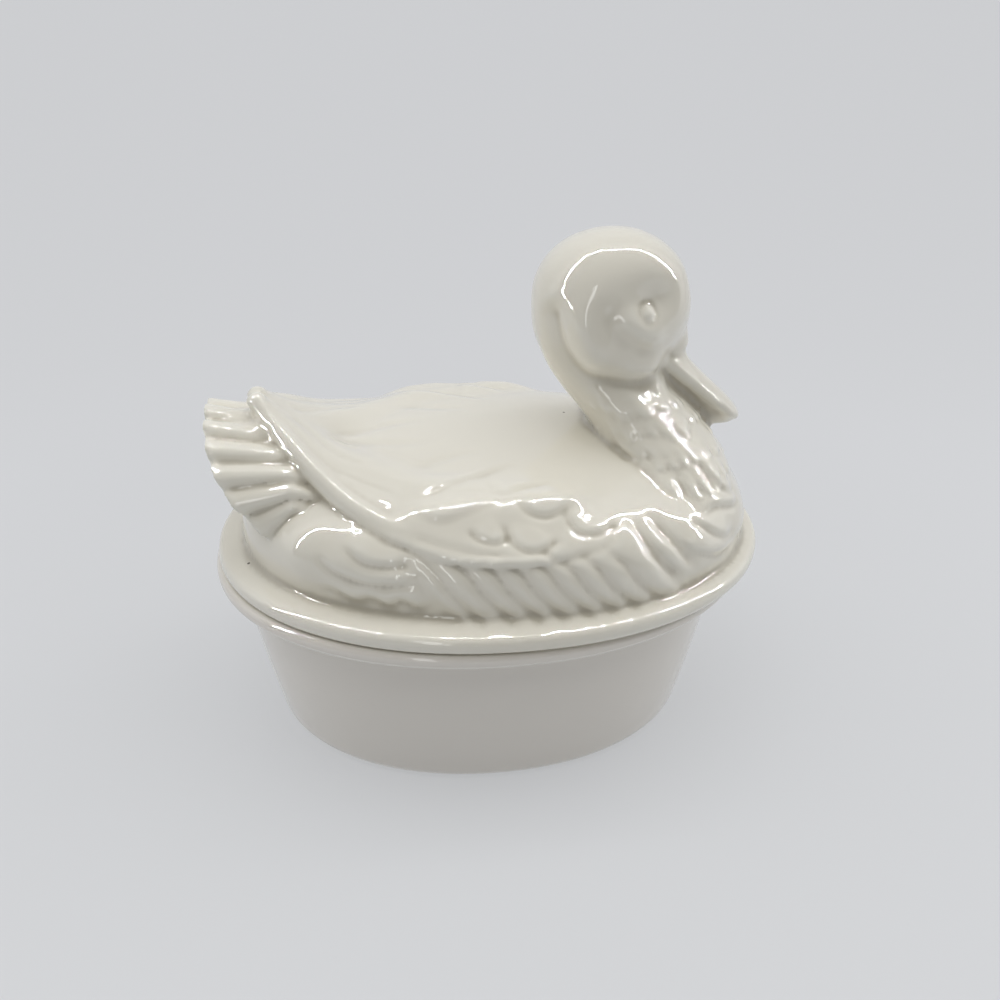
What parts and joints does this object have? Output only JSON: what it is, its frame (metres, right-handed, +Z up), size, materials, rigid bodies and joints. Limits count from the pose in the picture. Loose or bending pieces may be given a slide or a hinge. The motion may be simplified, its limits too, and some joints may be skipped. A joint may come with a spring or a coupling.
{
  "type": "duck-shaped casserole dish",
  "caption": "Oval glazed ceramic baking dish with a lift-off lid shaped as a resting duck, its raised head the handle and its tail fanned.",
  "frame": {"origin": "middle of the dish's flat base, on the table", "axes": "+X towards the duck's bill, along the oval's long axis; +Y towards the duck's left side; +Z up"},
  "size_m": [0.2315, 0.19, 0.2043],
  "materials": {
    "ivory_glaze": "high-gloss ivory glaze over white earthenware, pooled in the relief's grooves, with a few pin-prick specks"
  },
  "bodies": {
    "dish": {"dish": "ivory_glaze"},
    "lid": {"lid": "ivory_glaze"}
  },
  "joints": [
    {"name": "lid_lift", "type": "slide", "parent": "dish", "child": "lid", "axis": [0, 0, 1], "range_m": [0, 0.15]}
  ]
}
